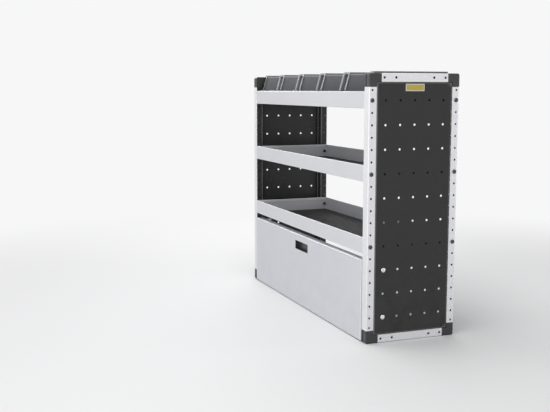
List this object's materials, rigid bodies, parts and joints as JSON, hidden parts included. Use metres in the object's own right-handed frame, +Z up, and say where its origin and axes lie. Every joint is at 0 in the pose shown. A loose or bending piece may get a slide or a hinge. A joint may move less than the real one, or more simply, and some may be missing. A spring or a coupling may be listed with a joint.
{
  "type": "van racking unit",
  "caption": "Free standing van racking unit: perforated end frames, lipped trays, a drop down front flap and lift out open fronted storage bins.",
  "frame": {"origin": "on the floor under the middle of the unit", "axes": "+X along the unit to its right end, +Y to its back, so the flap and the bins' mouths face -Y, +Z up"},
  "size_m": [1.4046, 0.424, 1.1281],
  "materials": {
    "aluminium": "satin anodised",
    "black_steel": "fine textured black powder coat",
    "cap_plastic": "fine grained black moulding",
    "tray_paint": "satin pale grey powder coat",
    "flap_paint": "satin pale grey powder coat",
    "mat_rubber": "matt ribbed rubber",
    "bin_plastic": "satin dark grey moulding",
    "black_bolt": "blackened steel",
    "bright_steel": "polished",
    "zinc_steel": "zinc plated",
    "label_film": "plain printed film"
  },
  "bodies": {
    "frame": {"end_panel_right": "black_steel", "bar_right_top": "aluminium", "bar_right_bottom": "aluminium", "post_right_front": "aluminium", "cap_right_front_top": "cap_plastic", "cap_right_front_bottom": "cap_plastic", "post_right_back": "aluminium", "cap_right_back_top": "cap_plastic", "cap_right_back_bottom": "cap_plastic", "end_panel_left": "black_steel", "bar_left_top": "aluminium", "bar_left_bottom": "aluminium", "post_left_front": "aluminium", "cap_left_front_top": "cap_plastic", "cap_left_front_bottom": "cap_plastic", "post_left_back": "aluminium", "cap_left_back_top": "cap_plastic", "cap_left_back_bottom": "cap_plastic", "tray_top": "tray_paint", "mat_top": "mat_rubber", "tray_middle": "tray_paint", "mat_middle": "mat_rubber", "tray_lower": "tray_paint", "mat_lower": "mat_rubber", "flap_bracket_right": "zinc_steel", "hinge_pin_right": "bright_steel", "flap_catch_right": "cap_plastic", "flap_bracket_left": "zinc_steel", "hinge_pin_left": "bright_steel", "flap_catch_left": "cap_plastic", "tray_bolt_right_front_top": "black_bolt", "tray_bolt_right_front_middle": "black_bolt", "tray_bolt_right_front_lower": "black_bolt", "tray_bolt_right_back_top": "black_bolt", "tray_bolt_right_back_middle": "black_bolt", "tray_bolt_right_back_lower": "black_bolt", "bracket_screw_right_lower": "bright_steel", "bracket_screw_right_upper": "bright_steel", "tray_bolt_left_front_top": "black_bolt", "tray_bolt_left_front_middle": "black_bolt", "tray_bolt_left_front_lower": "black_bolt", "tray_bolt_left_back_top": "black_bolt", "tray_bolt_left_back_middle": "black_bolt", "tray_bolt_left_back_lower": "black_bolt", "bracket_screw_left_lower": "bright_steel", "bracket_screw_left_upper": "bright_steel", "blank_label": "label_film"},
    "flap": {"flap_panel": "flap_paint", "flap_pull": "cap_plastic"},
    "bin_1": {"bin_1": "bin_plastic"},
    "bin_2": {"bin_2": "bin_plastic"},
    "bin_3": {"bin_3": "bin_plastic"},
    "bin_4": {"bin_4": "bin_plastic"},
    "bin_5": {"bin_5": "bin_plastic"}
  },
  "joints": [
    {"name": "flap_hinge", "type": "hinge", "parent": "frame", "child": "flap", "pos_m": [0, -0.205, 0.014], "axis": [1, 0, 0], "range_deg": [0, 90]},
    {"name": "bin_1_lift", "type": "slide", "parent": "frame", "child": "bin_1", "axis": [0, 0, 1], "range_m": [0, 0.16]},
    {"name": "bin_2_lift", "type": "slide", "parent": "frame", "child": "bin_2", "axis": [0, 0, 1], "range_m": [0, 0.16]},
    {"name": "bin_3_lift", "type": "slide", "parent": "frame", "child": "bin_3", "axis": [0, 0, 1], "range_m": [0, 0.16]},
    {"name": "bin_4_lift", "type": "slide", "parent": "frame", "child": "bin_4", "axis": [0, 0, 1], "range_m": [0, 0.16]},
    {"name": "bin_5_lift", "type": "slide", "parent": "frame", "child": "bin_5", "axis": [0, 0, 1], "range_m": [0, 0.16]}
  ]
}
